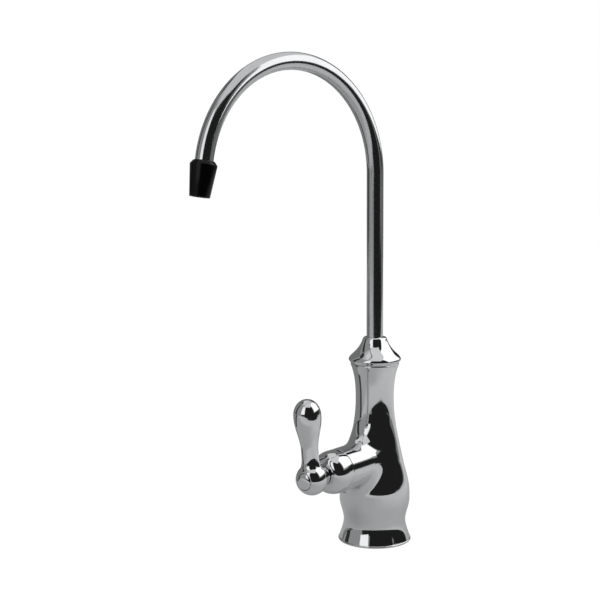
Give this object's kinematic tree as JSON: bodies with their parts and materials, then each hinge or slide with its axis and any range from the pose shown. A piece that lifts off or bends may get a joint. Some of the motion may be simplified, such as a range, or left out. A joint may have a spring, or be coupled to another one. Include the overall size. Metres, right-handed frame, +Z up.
{
  "type": "drinking water filter tap",
  "caption": "Chrome drinking water tap with a swivel gooseneck spout, black nozzle, waisted round body and a side valve worked by a teardrop lever on a ball hub.",
  "frame": {"origin": "centre of the flange's underside, at the mouth of the inlet bore, on the worktop", "axes": "+Z up along the tap axis, the spout reaches along -Y at rest, +X to the right seen from the front"},
  "size_m": [0.0446, 0.1588, 0.2936],
  "materials": {
    "chrome_plate": "polished",
    "raw_brass": "machined",
    "rubber": "matte",
    "white_plastic": "satin",
    "ceramic": "lapped",
    "steel": "plain",
    "black_plastic": "satin"
  },
  "bodies": {
    "tap_body": {"body": "chrome_plate", "base_gasket": "rubber", "spout_cap": "chrome_plate", "lower_thrust_washer": "white_plastic", "upper_thrust_washer": "white_plastic", "bonnet": "chrome_plate", "cartridge_housing": "raw_brass", "housing_o_ring": "rubber", "cartridge_seal": "rubber", "fixed_disc": "ceramic"},
    "spout": {"spout_spigot": "raw_brass", "lower_spigot_o_ring": "rubber", "upper_spigot_o_ring": "rubber", "spout_tube": "chrome_plate", "outlet_nozzle": "black_plastic", "flow_straightener": "white_plastic"},
    "handle": {"spindle": "raw_brass", "spindle_o_ring": "rubber", "spindle_clip": "steel", "moving_disc": "ceramic", "spindle_washer": "white_plastic", "lever": "chrome_plate", "handle_screw": "steel", "hub_plug": "chrome_plate"}
  },
  "joints": [
    {"name": "spout_swivel", "type": "hinge", "parent": "tap_body", "child": "spout", "pos_m": [0, 0, 0.1], "axis": [0, 0, 1], "continuous": true},
    {"name": "lever_turn", "type": "hinge", "parent": "tap_body", "child": "handle", "pos_m": [0, 0, 0.0506], "axis": [0.1736, -0.9848, 0], "range_deg": [0, 90]}
  ]
}
